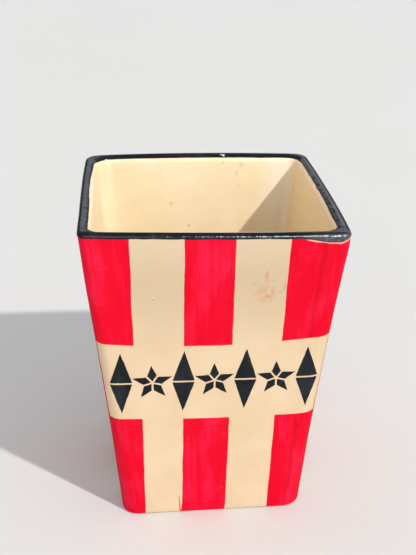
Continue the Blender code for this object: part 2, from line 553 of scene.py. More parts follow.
def hand_shaped(graph, inputs, ring):
    """How far a ring point strays on the hand-made pot: nothing at the foot, most at the rim."""
    x, y, z = graph.separate(ring)
    right = x / inputs["Width"] + 0.5
    back = y / inputs["Width"] + 0.5

    def mixed(factor, first, second):
        return graph.add(
            "ShaderNodeMix", {0: factor, 4: first, 5: second}, 1, data_type="VECTOR", clamp_factor=False)

    front_edge = mixed(right, inputs["Front Left"], inputs["Front Right"])
    back_edge = mixed(right, inputs["Back Left"], inputs["Back Right"])
    corners = mixed(back, front_edge, back_edge)
    up = z / inputs["Height"]

    def from_middle(value):
        return value * 2.0 - 1.0

    def fullest_in_middle(value):
        return 1.0 - value * value

    def by_side(value, below, above, other):
        """value times one of two sizes by its sign, fading towards both ends of the other direction."""
        size = graph.switched(graph.math("GREATER_THAN", value, 0.0), below, above)
        return size * value * fullest_in_middle(other)

    across, along = from_middle(right), from_middle(back)
    bulge = by_side(across, inputs["Left Bulge"], inputs["Right Bulge"], along)
    crown = by_side(along, inputs["Dip"], inputs["Crown"], across)
    late = graph.ramp(up, 0.7, 1.0, smooth=False)
    lean = late * late * inputs["Lean"]
    growing = graph.vector("ADD", corners, graph.combine(bulge, 0.0, crown))
    last = graph.ramp(up, PINCH_START, 1.0, smooth=False)
    towards_corner = right * (1.0 - back)
    pressed = last * last * towards_corner
    aside = lean - pressed * inputs["Pinch"]
    return graph.vector("ADD", graph.scaled(growing, up), graph.combine(aside, 0.0, 0.0))


def run_share(graph, aside):
    """How much of its full drop the black ran, from the run's start at -1 past its lowest place at 0."""
    return graph.least(graph.ramp(aside, -1.0, 0.0), graph.fall(aside, 0.05, 0.5))


def further_inside(graph, inputs, x, y):
    """How much further in than evenly the black was brushed, and how deep it dips under the cream."""
    on_back = graph.ramp(y, 0.055, 0.065)
    on_right = graph.ramp(x, 0.058, 0.066) * graph.ramp(y, -0.01, -0.05)
    along_left = graph.ramp(y, -0.05, 0.012, 0.25, 1.0) * graph.fall(y, 0.01, 0.056)
    on_left = graph.fall(x, -0.066, -0.058) * along_left
    along_front = graph.ramp(x, -0.069, -0.062) * graph.fall(x, 0.0, 0.062)
    on_front = graph.fall(y, -0.07, -0.062) * along_front
    total = on_back * inputs["Back Reach"]
    for share, size in ((on_right, "Right Reach"), (on_left, "Left Reach")):
        total = total + share * inputs[size]
    return total, on_front * inputs["Front Dip"]


def square_loft():
    """Geometry Nodes: turns a section into a hand-finished square form with rounded corners."""
    graph, inputs, result = new_tree(
        "Square Loft", "GeometryNodeTree",
        [("Section", GEOMETRY, None), ("Columns", INTEGER, 400), ("Height", FLOAT, 0.2),
         ("Width", FLOAT, 0.15), ("Sag Width", FLOAT, 0.01), ("Seed", FLOAT, 1.0),
         *((corner[0], VECTOR, None) for corner in CORNERS),
         *((name, FLOAT, 0.0) for name in HAND_SIZES + RUN_SIZES),
         *((name, MATERIAL, None) for name in FINISHES)],
        [("Geometry", GEOMETRY)])
    rows = graph.add("GeometryNodeAttributeDomainSize", {"Geometry": inputs["Section"]}, "Point Count")
    columns = inputs["Columns"] + 1.0
    grid = graph.add("GeometryNodeMeshGrid", {"Vertices X": columns, "Vertices Y": rows})
    ring, outward, row = loft_ring(graph, inputs, graph.add("GeometryNodeInputIndex"))
    x, y, z = graph.separate(ring)
    stray = hand_shaped(graph, inputs, ring)

    # Walls that were smoothed by hand, but a foot that was ground flat
    broad = graph.noise(ring, 22.0, detail=1.5, seed=inputs["Seed"]) - 0.5
    uneven = broad * 4.0 * inputs["Unevenness"]
    held = graph.ramp(z, 2 * MM, 20 * MM)
    push = graph.scaled(outward, uneven * held)

    # The edges of a glaze wander over the surface, and run down where too much was brushed on
    edge = graph.noise(ring, 95.0, detail=3.0, seed=inputs["Seed"]) - 0.5
    wander = edge * 3.0 * inputs["Waver"]
    aside = (x - inputs["Sag Place"]) / inputs["Sag Width"]
    in_front = graph.fall(y, -0.072, -0.064)
    run = run_share(graph, aside) * in_front * inputs["Sag"]
    drop = graph.upward(run * row["run"] * -1.0)
    further, deeper = further_inside(graph, inputs, x, y)

    def shifted(label, size):
        """The section's own move of that name, out and up, times a size."""
        up = graph.upward(row[label + "_up"])
        return graph.scaled(graph.vector("ADD", graph.scaled(outward, row[label + "_out"]), up), size)

    place = ring
    for move in (stray, push, shifted("slide", wander), drop, shifted("reach", further),
                 shifted("sink", deeper)):
        place = graph.vector("ADD", place, move)
    shape = graph.add("GeometryNodeSetPosition", {"Geometry": grid, "Position": place})
    shape = graph.add(
        "GeometryNodeStoreNamedAttribute", {"Geometry": shape, "Name": "zone", "Value": row["zone"]},
        data_type="FLOAT", domain="POINT")
    shape = graph.add("GeometryNodeMergeByDistance", {"Geometry": shape, "Distance": LOFT_SEAM})
    shape = graph.add("GeometryNodeSetShadeSmooth", {"Geometry": shape})
    shape = graph.add("GeometryNodeRealizeInstances", {"Geometry": shape})
    zone = graph.add("GeometryNodeInputNamedAttribute", {"Name": "zone"}, data_type="FLOAT")
    # Each finish covers the faces whose zone lies above its limit, over the ones before it
    for name, above in (("Underside", UNDERSIDE - 1.0), ("Outside", 0.25), ("Inside", 1.5)):
        chosen = graph.math("GREATER_THAN", zone, above)
        shape = graph.add(
            "GeometryNodeSetMaterial", {"Geometry": shape, "Selection": chosen, "Material": inputs[name]})
    graph.feed(result["Geometry"], shape)
    return graph.tree


def grown(source, tree, values, name, body="root"):
    """The source with the tree's modifier applied, as a plain mesh piece that rides on the body."""
    modifier = source.modifiers.new(tree.name, "NODES")
    modifier.node_group = tree
    for item in tree.interface.items_tree:
        if item.item_type == "SOCKET" and item.in_out == "INPUT" and item.name in values:
            modifier[item.identifier] = values[item.name]
    source.update_tag()
    shape = source.evaluated_get(bpy.context.evaluated_depsgraph_get())
    mesh = bpy.data.meshes.new_from_object(shape)
    source.modifiers.remove(modifier)
    bpy.data.objects.remove(source)
    if not mesh.polygons:
        raise RuntimeError(f"{name} came out empty")
    for attribute in [a for a in mesh.attributes if a.name in {"zone", "UVMap"}]:
        mesh.attributes.remove(attribute)
    mesh.name = name
    piece = linked(name, mesh)
    turn_outwards(piece)
    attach(piece, body)
    return piece


def turn_outwards(piece):
    """Point every face of a closed piece away from its inside."""
    bm = bmesh.new()
    bm.from_mesh(piece.data)
    if bm.calc_volume(signed=True) < 0.0:
        bmesh.ops.reverse_faces(bm, faces=bm.faces)
    bm.to_mesh(piece.data)
    bm.free()


def by_name(sizes, names):
    """The settings with those names, such as front_left for Front Left."""
    return {name: getattr(sizes, name.lower().replace(" ", "_")) for name in names}


def loft_values(seed):
    """The square loft's inputs that the pot and the glaze on its rim share."""
    pot = bpy.context.scene.pottery_pot
    corners = tuple(corner[0] for corner in CORNERS)
    return {
        **by_name(pot, ("Height",) + corners + HAND_SIZES),
        "Columns": pot.around, "Width": pot.top_width, "Seed": seed,
    }


def new_material(name):
    """A material with its Principled shader, as (material, graph, shader)."""
    material = bpy.data.materials.new(name)
    material.use_nodes = True
    graph = Graph(material.node_tree)
    shader = material.node_tree.nodes["Principled BSDF"]
    return material, graph, shader


def position(graph):
    """The point on the piece, in the bucket's own frame."""
    return graph.add("ShaderNodeTexCoord", output="Object")


def wall_place_group():
    """Shader group: where a point lies on the tapering walls."""
    graph, inputs, result = new_tree(
        "Wall Place", "ShaderNodeTree",
        [("Position", VECTOR, None), ("Height", FLOAT, 0.2), ("Base Width", FLOAT, 0.116),
         ("Top Width", FLOAT, 0.15), ("Corner", FLOAT, 0.011)],
        [("Across", FLOAT), ("Up", FLOAT), ("Plan", VECTOR), ("Front", FLOAT)])
    x, y, z = graph.separate(inputs["Position"])
    up = z / inputs["Height"]
    growth = inputs["Top Width"] - inputs["Base Width"]
    width = inputs["Base Width"] + growth * up
    half = width * 0.5
    wide_x = abs(x)
    on_side = graph.math("GREATER_THAN", wide_x, abs(y))
    on_side_wall = y * graph.math("SIGN", x)
    on_front_wall = x * -1.0 * graph.math("SIGN", y)
    graph.feed(result["Across"], graph.switched(on_side, on_front_wall, on_side_wall))
    graph.feed(result["Up"], up)
    # The plan is widened to the rim's size, so that strokes follow the taper
    level = graph.scaled(graph.combine(x, y, 0.0), PLAN_HALF / half)
    graph.feed(result["Plan"], graph.vector("ADD", level, graph.upward(z)))
    # The front's paint turns about 60 degrees round each corner
    flat = half - inputs["Corner"]
    ahead = y * -1.0 - flat
    aside = wide_x - flat
    graph.feed(result["Front"], ahead * 1.73 - aside)
    return graph.tree


def brush_group():
    """Shader group: streaks of a brush drawn up and down, and how full it was."""
    graph, inputs, result = new_tree(
        "Brush Strokes", "ShaderNodeTree",
        [("Plan", VECTOR, None), ("Bristle", FLOAT, 0.0011), ("Stroke Length", FLOAT, 0.05),
         ("Seed", FLOAT, 0.0)],
        [("Streak", FLOAT), ("Load", FLOAT)])
    x, y, z = graph.separate(inputs["Plan"])
    drawn = z / inputs["Stroke Length"]
    fine = graph.scaled(graph.combine(x, y, 0.0), 1.0 / inputs["Bristle"])
    streaks = graph.vector("ADD", fine, graph.upward(drawn))
    thin = graph.noise(streaks, 0.55, detail=3.0, roughness=0.65, seed=inputs["Seed"])
    wide = graph.noise(streaks, 0.16, detail=2.0, roughness=0.5, seed=inputs["Seed"])
    both = thin * 0.55 + wide * 0.45
    graph.feed(result["Streak"], graph.ramp(both, 0.36, 0.64))
    drawn_out = graph.vector("MULTIPLY", inputs["Plan"], (1.0, 1.0, 0.45))
    pools = graph.noise(drawn_out, 70.0, detail=3.5, roughness=0.6, seed=inputs["Seed"])
    graph.feed(result["Load"], graph.ramp(pools, 0.36, 0.66))
    return graph.tree


def glaze_group():
    """Shader group: the slow ripple, mottling and pinholes of a fired glaze."""
    graph, inputs, result = new_tree(
        "Fired Glaze", "ShaderNodeTree",
        [("Position", VECTOR, None), ("Ripple Size", FLOAT, 0.008), ("Pinholes", FLOAT, 0.3),
         ("Smoothness", FLOAT, 0.16), ("Seed", FLOAT, 0.0)],
        [("Height", FLOAT), ("Roughness", FLOAT), ("Mottle", FLOAT), ("Pinhole", FLOAT)])
    place = inputs["Position"]
    ripple = graph.noise(place, 1.0 / inputs["Ripple Size"], 2.0, 0.45, inputs["Seed"])
    orange_peel = graph.noise(place, 900.0, 2.0, 0.5, inputs["Seed"])
    cells = graph.signals(graph.node("ShaderNodeTexVoronoi", {"Vector": place, "Scale": 95.0}).outputs)
    chance = graph.separate(cells["Color"])[0]
    picked = graph.math("LESS_THAN", chance, inputs["Pinholes"] * 0.1)
    dot = graph.fall(cells["Distance"], 0.02, 0.05)
    pinhole = dot * picked
    graph.feed(result["Pinhole"], pinhole)
    relief = ripple + orange_peel * 0.06
    graph.feed(result["Height"], relief - pinhole * 0.5)
    worn = graph.noise(place, 60.0, 3.0, 0.6, inputs["Seed"])
    graph.feed(result["Roughness"], inputs["Smoothness"] + graph.ramp(worn, 0.35, 0.75, 0.0, 0.12))
    graph.feed(result["Mottle"], graph.noise(place, 34.0, 3.0, 0.55, inputs["Seed"]))
    return graph.tree


def smudge_group():
    """Shader group: one small ragged mark at a given place."""
    graph, inputs, result = new_tree(
        "Smudge", "ShaderNodeTree",
        [("Position", VECTOR, None), ("Place", VECTOR, None), ("Size", VECTOR, None),
         ("Strength", FLOAT, 0.5)],
        [("Mask", FLOAT)])
    away = graph.vector("SUBTRACT", inputs["Position"], inputs["Place"])
    stretched = graph.vector("DIVIDE", away, inputs["Size"])
    ragged = graph.noise(inputs["Position"], 300.0, 3.0, 0.6, 2.0) - 0.5
    reach = graph.vector("LENGTH", stretched) + ragged * 2.4
    mask = graph.fall(reach, 0.1, 1.2)
    graph.feed(result["Mask"], mask * inputs["Strength"])
    return graph.tree


def finished(graph, shader, base, roughness, height, depth, level=0.5):
    """Feed the shader: colour, roughness and a relief whose full height is depth."""
    normal = graph.add("ShaderNodeBump", {"Height": height, "Distance": depth, "Strength": 1.0})
    for name, value in (("Base Color", base), ("Roughness", roughness), ("Normal", normal)):
        graph.feed(shader.inputs[name], value)
    shader.inputs["Specular IOR Level"].default_value = level


def place_on_walls(graph, groups):
    """The Wall Place group in a material, with the pot's own sizes."""
    pot = bpy.context.scene.pottery_pot
    return graph.group(groups["place"], {
        "Position": position(graph), "Height": pot.height, "Base Width": pot.base_width,
        "Top Width": pot.top_width, "Corner": PAINT_CORNER})


# Marks that the photographed pot has, and painted glints: place and size in millimetres, strength and tint
PINK, GREY, BROWN, PALE = (0.58, 0.24, 0.14), (0.33, 0.27, 0.20), (0.24, 0.13, 0.07), (0.80, 0.72, 0.60)
HALO_PINK, RUN_PINK = (0.74, 0.30, 0.22), (0.78, 0.36, 0.33)
LIP_PAINTED_LIGHT, PAINTED_SUNLIT_GREY = (0.86, 0.68, 0.50), (0.085, 0.09, 0.096)
OUTER_MARKS = [
    ("pink dab", (28.3, -72.4, 173.4), (1.3, 9.0, 2.4), 0.72, PINK),
    ("pink under the dab", (28.0, -72.0, 169.6), (2.2, 9.0, 4.4), 0.44, PINK),
    ("pink field", (25.6, -71.3, 163.0), (4.6, 9.0, 5.4), 0.44, PINK),
    ("pink field's foot", (27.0, -71.0, 157.8), (3.0, 9.0, 3.4), 0.42, PINK),
    ("pink stroke", (31.8, -71.3, 162.2), (1.5, 9.0, 3.0), 0.7, PINK),
    ("pink stroke's foot", (30.0, -71.1, 159.4), (2.6, 9.0, 1.6), 0.6, PINK),
    ("pink by the stripe", (39.0, -71.5, 165.6), (1.8, 9.0, 3.6), 0.4, PINK),
    ("pink touch", (31.4, -73.2, 181.3), (3.0, 9.0, 2.8), 0.16, PINK),
    ("grey touch", (36.2, -71.3, 161.8), (2.0, 9.0, 1.3), 0.42, GREY),
    ("grey touch's end", (38.0, -71.4, 163.9), (1.0, 9.0, 1.8), 0.4, GREY),
    ("grey speck", (31.3, -72.0, 169.2), (0.9, 9.0, 1.2), 0.4, GREY),
    ("low grey speck", (31.2, -71.0, 156.2), (0.9, 9.0, 1.2), 0.36, GREY),
    ("brown speck", (21.8, -71.6, 167.8), (1.4, 9.0, 1.6), 0.2, BROWN),
    ("pinhole", (-35.1, -70.9, 159.6), (0.6, 9.0, 0.6), 0.7, BROWN),
    ("pinhole's edge", (-35.1, -70.9, 160.9), (0.9, 9.0, 0.6), 0.7, PALE),
]
INNER_MARKS = [
    ("dark speck", (-6.6, 63.2, 151.8), (0.7, 9.0, 0.8), 0.8, BROWN),
    ("pink touch", (-18.3, 64.8, 168.0), (2.6, 9.0, 1.9), 0.3, PINK),
    ("grey smear", (30.3, 67.6, 194.4), (2.0, 9.0, 3.2), 0.3, GREY),
    ("grey smear's foot", (27.4, 66.9, 188.5), (1.8, 9.0, 2.6), 0.2, GREY),
    ("grey speck", (17.8, 67.8, 196.0), (0.9, 9.0, 1.2), 0.35, GREY),
    ("low grey speck", (29.0, 66.1, 180.7), (0.8, 9.0, 1.0), 0.3, GREY),
]
# Painted highlights: pale spots on the back rim's black that stand in for a glint of light
RIM_MARKS = [
    ("painted_glint", (18.2, 69.6, 200.6), (1.1, 1.4, 1.6), 0.9, PALE),
    ("chip's end", (16.6, 70.2, 201.0), (0.8, 0.9, 1.2), 0.5, PALE),
]


def with_marks(graph, groups, base, place, marks):
    """The base colour with each mark laid over it."""
    for _, middle, size, strength, tint in marks:
        mask = graph.group(groups["smudge"], {
            "Position": place, "Place": [v * MM for v in middle], "Size": [v * MM for v in size],
            "Strength": strength})["Mask"]
        base = graph.blend(mask, base, opaque(tint))
    return base


def cream_colour(graph, mottle, cream):
    """The cream glaze's colour, a little darker and yellower where it lies thin."""
    thin, thick = tinted(cream, (0.965, 0.95, 0.92)), tinted(cream, (1.02, 1.02, 1.04))
    return graph.blend(graph.ramp(mottle, 0.36, 0.66), thin, thick)


def red_fields(graph, walls):
    """Signed distance into the red of the stripes, which the front's plain band cuts through."""
    paint = bpy.context.scene.pottery_paint
    across, up = walls["Across"], walls["Up"]
    _, _, z = graph.separate(walls["Plan"])
    slow = graph.noise(walls["Plan"], 45.0, 2.0, 0.5, 4.0) - 0.5
    quick = graph.noise(walls["Plan"], 420.0, 2.0, 0.6, 7.0) - 0.5
    stray = slow * (paint.wobble * 3.0) + quick * (paint.wobble * 0.9)
    brushed = across + stray

    def edge(foot, lean, power):
        return foot + graph.math("POWER", up, power) * lean

    middle = edge(paint.stripe_middle, paint.stripe_lean, 0.5)
    centre = paint.stripe_width / 2 - abs(brushed - middle)
    left_edge = paint.left_edge + graph.ramp(z, 80 * MM, 120 * MM, 0.0, paint.left_step)
    left = left_edge - brushed
    right = brushed - edge(paint.right_edge, paint.right_lean, 1.0)
    line = -20.7 * MM + z * -0.086
    half = 0.45 * MM + z * -0.022
    sliver = graph.least(half - abs(brushed - line), 14 * MM - z, walls["Front"])
    stripes = graph.most(centre, sliver, left, right)

    # Both edges of the band were masked by hand, and rise towards the corners
    x, _, _ = graph.separate(walls["Plan"])
    from_wall_middle = graph.most(graph.least(x / PLAN_HALF, 1.0), -1.0)
    curve = from_wall_middle * from_wall_middle
    high = paint.band_high + curve * (4.2 * MM)
    low = paint.band_low + curve * (1.7 * MM)
    low = low - from_wall_middle * (0.9 * MM)
    drawn = z + stray * 0.8
    band = graph.least(high - drawn, drawn - low, walls["Front"])
    return graph.least(stripes, band * -1.0)


def rim_run_mask(graph, place):
    """Where pale glaze shows from under the black's run, near the front right corner."""
    rim = bpy.context.scene.pottery_rim
    x, y, z = graph.separate(place)
    aside = (x - rim.sag_place) / rim.sag_width
    run = run_share(graph, aside)
    # The rim drops evenly from 197.6 mm, 44 mm to the right of the middle, to the corner
    rim_top = 197.6 * MM - (x - 44 * MM) * 0.02
    edge = rim_top - rim.outer_drop - run * rim.sag
    thread = graph.noise(place, 210.0, 2.0, 0.5, 8.0) * (1.9 * MM)
    below = edge - thread - z
    shown = graph.fall(below, 0.0, 0.25 * MM)
    begun = graph.ramp(x, 48 * MM, 51 * MM) * graph.ramp(y, -0.066, -0.071)
    return shown * begun * 0.95


def painted_glaze(groups):
    """The outer walls: cream glaze with brushed crimson stripes."""
    paint = bpy.context.scene.pottery_paint
    material, graph, shader = new_material("painted_glaze")
    place = position(graph)
    walls = place_on_walls(graph, groups)
    glaze = graph.group(groups["glaze"], {
        "Position": place, "Ripple Size": 9 * MM, "Pinholes": 0.25, "Smoothness": 0.13, "Seed": 1.0})
    brush = graph.group(groups["brush"], {
        "Plan": walls["Plan"], "Bristle": 1.0 * MM, "Stroke Length": 55 * MM, "Seed": 3.0})

    cream = cream_colour(graph, glaze["Mottle"], paint.cream)
    _, _, z = graph.separate(place)
    # The cream turns darker from the middle up, and greyer still just under the rim.
    darker_high = tinted(paint.cream, 0.82)
    cream = graph.blend(graph.ramp(z, 108 * MM, 172 * MM), cream, darker_high)
    palest = tinted(paint.cream, (0.91, 0.93, 0.97))
    cream = graph.blend(graph.ramp(z, 170 * MM, 199 * MM), cream, palest)
    cream = with_marks(graph, groups, cream, place, OUTER_MARKS)
    cream = graph.blend(glaze["Pinhole"], cream, opaque(BROWN))

    depth = red_fields(graph, walls)
    red = graph.ramp(depth, -0.12 * MM, 0.12 * MM)
    halo = graph.ramp(depth, -1.5 * MM, -0.1 * MM, 0.0, 0.22)
    cream = graph.blend(halo, cream, opaque(HALO_PINK))
    thin_brush = brush["Streak"] * 0.4 + brush["Load"] * 0.6
    body = graph.blend(graph.ramp(thin_brush, 0.3, 1.0), opaque(paint.crimson), opaque(paint.rose))
    bristles = graph.vector("MULTIPLY", walls["Plan"], (1.0, 1.0, 0.035))
    hairs = graph.noise(bristles, 620.0, 2.0, 0.6, 15.0)
    deep = tinted(paint.crimson, 0.7)
    body = graph.blend(graph.ramp(hairs, 0.5, 0.7, 0.0, 0.26), body, deep)
    x, _, _ = graph.separate(walls["Plan"])
    stray = graph.noise(walls["Plan"], 60.0, 2.0, 0.5, 16.0) * (5 * MM)
    overlap = abs(x + stray - 62.5 * MM)
    overlap = graph.ramp(overlap, 0.6 * MM, 2.2 * MM, 0.5, 0.0) * graph.ramp(walls["Front"], 0.0, 2 * MM)
    body = graph.blend(overlap, body, deep)
    pooled = graph.ramp(depth, 0.1 * MM, 0.7 * MM, 0.75, 0.0)
    body = graph.blend(pooled, body, tinted(paint.crimson, 0.6))
    colour_out = graph.blend(red, cream, body)
    colour_out = graph.blend(rim_run_mask(graph, place), colour_out, opaque(RUN_PINK))

    relief = glaze["Height"] + red * 0.12 + brush["Streak"] * red * 0.1
    finished(graph, shader, colour_out, glaze["Roughness"] + red * 0.04, relief, 0.22 * MM, 0.18)
    return material


def painted_lip_light(graph, place):
    """Painted sunlight: a narrow strip on the inside, along the lip of the hand-made pot, where its
    shoulder catches the light.
    """
    pot = bpy.context.scene.pottery_pot
    x, y, z = graph.separate(place)

    def share(value):
        return value / pot.top_width + 0.5

    def mixed(factor, first, second):
        return first + factor * (second - first)

    right, back = share(x), share(y)
    front_rise = mixed(right, pot.front_left[2], pot.front_right[2])
    back_rise = mixed(right, pot.back_left[2], pot.back_right[2])
    crease = mixed(back, front_rise, back_rise) + (pot.height - LIP_INNER_DROP)
    ragged = graph.noise(place, 160.0, 2.0, 0.5, 5.0) * (2.0 * MM)
    above = z + ragged - crease
    return graph.ramp(above, -0.9 * MM, -0.5 * MM)


def inner_glaze(groups):
    """The inside: cream glaze with a few marks, and painted light and shade: warmer on the right wall,
    bluer in the back wall's shadow, lighter along the lip.
    """
    material, graph, shader = new_material("inner_glaze")
    place = position(graph)
    glaze = graph.group(groups["glaze"], {
        "Position": place, "Ripple Size": 14 * MM, "Pinholes": 0.3, "Smoothness": 0.32, "Seed": 6.0})
    inner_cream = bpy.context.scene.pottery_paint.inner_cream
    cream = cream_colour(graph, glaze["Mottle"], inner_cream)
    x, y, z = graph.separate(place)
    aside = x - y
    # Painted bounced light: the right wall is tinted warmer, as if lit from the sunny left wall.
    painted_bounce = tinted(inner_cream, (1.08, 0.97, 0.82))
    on_right = graph.ramp(aside, -3 * MM, 3 * MM) * graph.ramp(x, 44 * MM, 54 * MM, 0.0, 0.9)
    cream = graph.blend(on_right, cream, painted_bounce)
    # Painted shade: the back wall's shadowed part, right of a slanting line, is tinted bluer.
    painted_shade_tint = tinted(inner_cream, (1.02, 1.08, 1.26))
    painted_shadow_edge = x - z * 0.24
    behind = graph.ramp(painted_shadow_edge, -4 * MM, 14 * MM) * graph.fall(aside, -3 * MM, 3 * MM)
    cream = graph.blend(behind, cream, painted_shade_tint)
    # Painted sunlight along the lip, faint on the left and full on the right wall
    shown = graph.ramp(x, 40 * MM, 60 * MM, 0.12, 1.0)
    cream = graph.blend(painted_lip_light(graph, place) * shown, cream, opaque(LIP_PAINTED_LIGHT))
    cream = with_marks(graph, groups, cream, place, INNER_MARKS)
    cream = graph.blend(glaze["Pinhole"], cream, opaque(BROWN))
    finished(graph, shader, cream, glaze["Roughness"], glaze["Height"], 0.03 * MM, 0.22)
    return material


def black_glaze(name, groups, smoothness, bristle, depth, lumps=0.0, marks=()):
    """Brushed black glaze, bluer where it lies thick and lumpy where it ran together at a corner, with
    painted sunlight on the run's low face.
    """
    black = bpy.context.scene.pottery_paint.black
    material, graph, shader = new_material(name)
    place = position(graph)
    walls = place_on_walls(graph, groups)
    glaze = graph.group(groups["glaze"], {
        "Position": place, "Ripple Size": 5 * MM, "Pinholes": 0.0, "Smoothness": smoothness, "Seed": 9.0})
    brush = graph.group(groups["brush"], {
        "Plan": walls["Plan"], "Bristle": bristle, "Stroke Length": 12 * MM, "Seed": 11.0})
    worn = brush["Streak"] * brush["Load"]
    base = graph.blend(worn, opaque(black), tinted(black, (2.4, 2.3, 2.2)))
    if lumps:
        x, y, z = graph.separate(place)
        corner = graph.ramp(x, 38 * MM, 62 * MM) * graph.ramp(y, -0.06, -0.07)
        low = graph.fall(z, 196.2 * MM, 197.4 * MM)
        mottled = graph.ramp(graph.noise(place, 620.0, 2.0, 0.5, 14.0), 0.3, 0.6, 0.45, 1.0)
        # Painted sunlight: a mottled light grey on the low face of the run near the front right corner
        grey = corner * low * mottled
        base = graph.blend(grey, base, opaque(PAINTED_SUNLIT_GREY))
    base = with_marks(graph, groups, base, place, marks)
    relief = glaze["Height"] + brush["Streak"] * 0.15
    if lumps:
        lumpy = graph.noise(graph.vector("MULTIPLY", place, (0.6, 1.0, 1.0)), 430.0, 2.0, 0.5, 12.0)
        relief = relief + lumpy * corner * lumps
    finished(graph, shader, base, glaze["Roughness"], relief, depth)
    shader.inputs["IOR"].default_value = 1.52
    return material


def bare_clay():
    """The unglazed underside."""
    material, graph, shader = new_material("bare_clay")
    place = position(graph)
    clay = bpy.context.scene.pottery_paint.clay
    grit = graph.noise(place, 1400.0, 3.0, 0.7, 3.0)
    stain = graph.noise(place, 45.0, 3.0, 0.5, 5.0)
    tone = grit * 0.5 + stain * 0.5
    base = graph.blend(graph.ramp(tone, 0.35, 0.65), tinted(clay, 0.8), tinted(clay, 1.12))
    finished(graph, shader, base, graph.ramp(grit, 0.3, 0.7, 0.78, 0.92), grit, 0.12 * MM)
    return material


GROUP_MAKERS = {
    "Wall Place": ("place", wall_place_group),
    "Brush Strokes": ("brush", brush_group),
    "Fired Glaze": ("glaze", glaze_group),
    "Smudge": ("smudge", smudge_group),
}


def shader_groups():
    """The shared shader groups by short name, made on first use."""
    made = {}
    for name, (short, maker) in GROUP_MAKERS.items():
        made[short] = bpy.data.node_groups.get(name) or maker()
    return made


def loft_tree():
    """The square loft, made on first use."""
    return bpy.data.node_groups.get("Square Loft") or square_loft()


class MESH_OT_pottery_pot(bpy.types.Operator):
    """Build the pot: walls, floor and lip in one closed piece"""

    bl_idname = "mesh.pottery_pot"
    bl_label = "Pot"

    def execute(self, context):
        groups = shader_groups()
        values = loft_values(seed=2.0)
        values["Underside"] = bare_clay()
        values["Outside"] = painted_glaze(groups)
        values["Inside"] = inner_glaze(groups)
        pot = grown(section_object("pot_section", pot_section()), loft_tree(), values, "pot")
        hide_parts("bucket")
        return {"FINISHED"}


class MESH_OT_pottery_rim(bpy.types.Operator):
    """Lay the thick black glaze over the lip"""

    bl_idname = "mesh.pottery_rim"
    bl_label = "Rim glaze"

    def execute(self, context):
        rim = context.scene.pottery_rim
        black = black_glaze("rim_glaze", shader_groups(), 0.08, 2.0 * MM, 0.3 * MM, 1.6, RIM_MARKS)
        values = loft_values(seed=2.0)
        values.update(by_name(rim, RUN_SIZES + ("Sag Width",)))
        values.update(dict.fromkeys(FINISHES, black))
        piece = grown(section_object("rim_section", rim_section()), loft_tree(), values, "rim_glaze")
        return {"FINISHED"}


def flat_piece(bm, outline):
    """One flat face in the wall's plane, facing the viewer at -Y."""
    return bm.faces.new([bm.verts.new((x, 0.0, z)) for x, z in outline])


def lozenge_motif():
    """A tall lozenge that the stencil's bridge splits into two points."""
    sizes = bpy.context.scene.pottery_stencil
    half, reach, gap = sizes.lozenge_width / 2, sizes.lozenge_height / 2, sizes.bridge / 2
    bm = bmesh.new()
    for sign in (1, -1):
        side = half * (1 - gap / reach)
        flat_piece(bm, [(-side, sign * gap), (side, sign * gap), (0.0, sign * reach)][::sign])
    return motif_object("lozenge", bm)


def star_motif():
    """A five-pointed star of separate kites, with the stencil's bridges between them."""
    sizes = bpy.context.scene.pottery_stencil
    points = 5
    step = math.pi / points
    waist = sizes.star_radius * 0.46
    bm = bmesh.new()
    for point in range(points):
        middle = math.pi / 2 + 2 * step * point
        inset = sizes.bridge / 2 / math.sin(step)

        def at(radius, turn):
            return Vector((radius * math.cos(middle + turn), radius * math.sin(middle + turn)))

        shift = at(inset, 0.0)
        kite = [shift, at(waist - inset, -step) + shift, at(sizes.star_radius, 0.0),
                at(waist - inset, step) + shift]
        flat_piece(bm, [tuple(corner) for corner in kite])
    return motif_object("star", bm)


def motif_object(name, bm):
    """A stencil's cut-out as an object, its faces all turned the same way."""
    for face in bm.faces:
        face.normal_update()
        if face.normal.y > 0.0:
            face.normal_flip()
    mesh = bpy.data.meshes.new(name)
    bm.to_mesh(mesh)
    bm.free()
    return linked(name, mesh)


